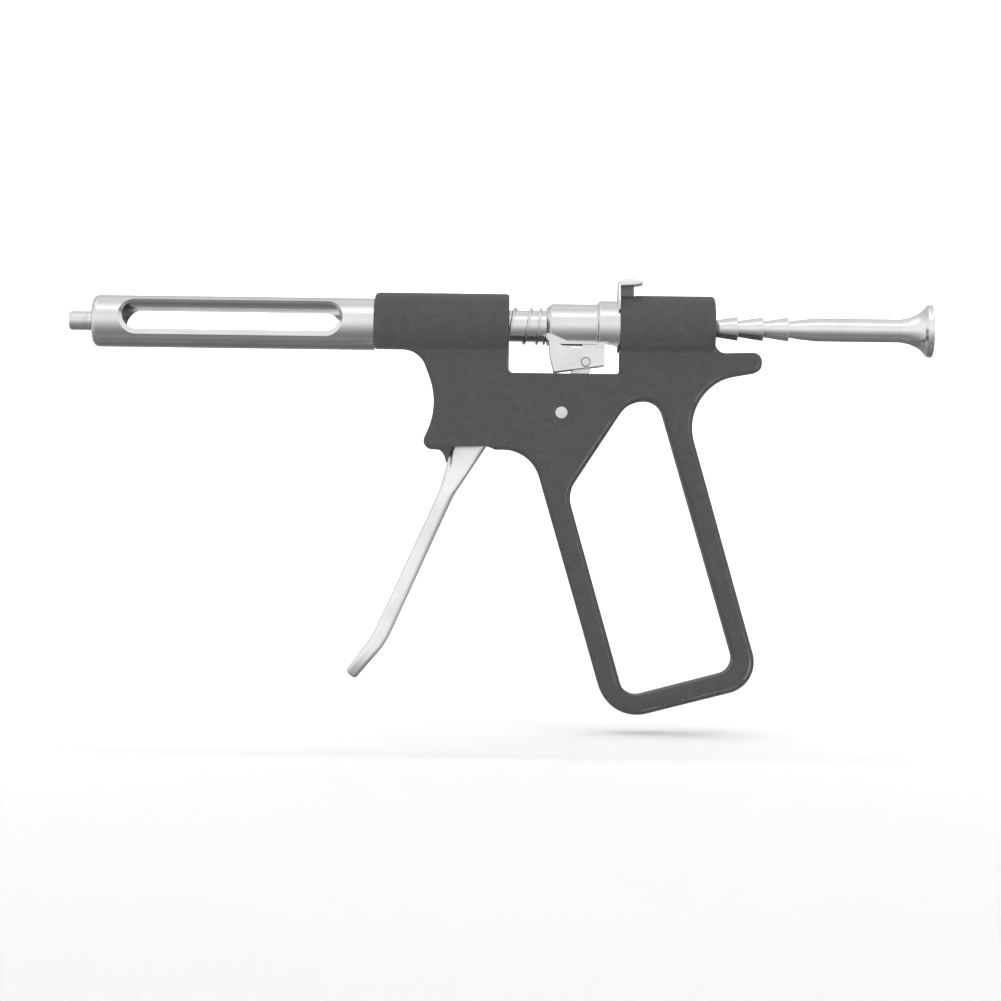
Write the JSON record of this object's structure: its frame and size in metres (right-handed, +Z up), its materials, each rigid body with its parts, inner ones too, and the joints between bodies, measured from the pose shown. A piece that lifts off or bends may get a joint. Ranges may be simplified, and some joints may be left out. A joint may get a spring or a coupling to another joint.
{
  "type": "pistol-grip dental cartridge syringe",
  "caption": "Pistol-grip pressure syringe for dental cartridges: slotted screw-on barrel, trigger-driven ratchet plunger rod with thumb knob, black cast grip frame.",
  "frame": {"origin": "centre of the needle hub's front face, on the barrel axis", "axes": "+X rearwards along the barrel towards the thumb knob, +Z up, grip and trigger towards -Z, mid-plane at Y 0"},
  "size_m": [0.1846, 0.0136, 0.0929],
  "materials": {
    "black_coat": "matte",
    "blued_steel": "satin",
    "pin_steel": "satin",
    "polished_steel": "polished",
    "satin_nickel": "satin",
    "chrome_knob": "polished",
    "satin_chrome": "satin",
    "satin_steel": "satin",
    "spring_steel": "satin"
  },
  "bodies": {
    "frame_body": {"frame": "black_coat", "front_bush": "blued_steel", "rear_bush": "blued_steel", "trigger_pivot_pin": "pin_steel", "return_spring": "spring_steel", "catch_spring": "spring_steel"},
    "trigger": {"trigger_lever": "satin_chrome", "yoke_pin": "pin_steel"},
    "yoke": {"yoke_plate_left": "satin_steel", "yoke_plate_right": "satin_steel", "yoke_spacers": "satin_steel", "push_roller": "polished_steel"},
    "collar": {"drive_tube": "satin_nickel", "drive_collar": "satin_nickel", "pawl_pin": "polished_steel", "pawl_ring_spring": "spring_steel"},
    "pawl": {"drive_pawl": "satin_steel"},
    "rod": {"plunger_rod": "polished_steel", "plunger_tip": "polished_steel", "thumb_knob": "chrome_knob"},
    "catch": {"release_catch": "satin_steel"},
    "barrel_thread": {"barrel_stop_ring": "blued_steel"},
    "barrel": {"barrel": "satin_nickel", "needle_hub": "satin_nickel"}
  },
  "joints": [
    {"name": "trigger_pull", "type": "hinge", "parent": "frame_body", "child": "trigger", "pos_m": [0.1052, 0, -0.0185], "axis": [0, -1, 0], "range_deg": [0, 30], "stiffness_Nm_per_rad": 0.5, "springref_deg": -20.05},
    {"name": "yoke_swing", "type": "hinge", "parent": "trigger", "child": "yoke", "pos_m": [0.1102, 0, -0.0077], "axis": [0, -1, 0], "range_deg": [-30, 0]},
    {"name": "collar_slide", "type": "slide", "parent": "frame_body", "child": "collar", "axis": [-1, 0, 0], "range_m": [0, 0.00607], "deforming": ["return_spring"]},
    {"name": "pawl_swing", "type": "hinge", "parent": "collar", "child": "pawl", "pos_m": [0.1206, 0, -0.004], "axis": [0, -1, 0], "range_deg": [0, 8], "stiffness_Nm_per_rad": 0.004, "springref_deg": -11.46},
    {"name": "rod_slide", "type": "slide", "parent": "frame_body", "child": "rod", "axis": [-1, 0, 0], "range_m": [0, 0.042]},
    {"name": "catch_lift", "type": "slide", "parent": "frame_body", "child": "catch", "axis": [0, 0, 1], "range_m": [0, 0.0015], "stiffness_N_per_m": 200, "springref_m": -0.0015, "deforming": ["catch_spring"]},
    {"name": "barrel_travel", "type": "slide", "parent": "frame_body", "child": "barrel_thread", "axis": [-1, 0, 0], "range_m": [0, 0.009]},
    {"name": "barrel_unscrew", "type": "hinge", "parent": "barrel_thread", "child": "barrel", "pos_m": [0.07, 0, 0], "axis": [-1, 0, 0], "range_deg": [0, 3240]}
  ],
  "couplings": [
    {"joint": "yoke_swing", "follows": "trigger_pull", "ratio": -1},
    {"joint": "collar_slide", "follows": "trigger_pull", "m_per_rad": 0.011592},
    {"joint": "barrel_travel", "follows": "barrel_unscrew", "m_per_rad": 0.00015915}
  ]
}
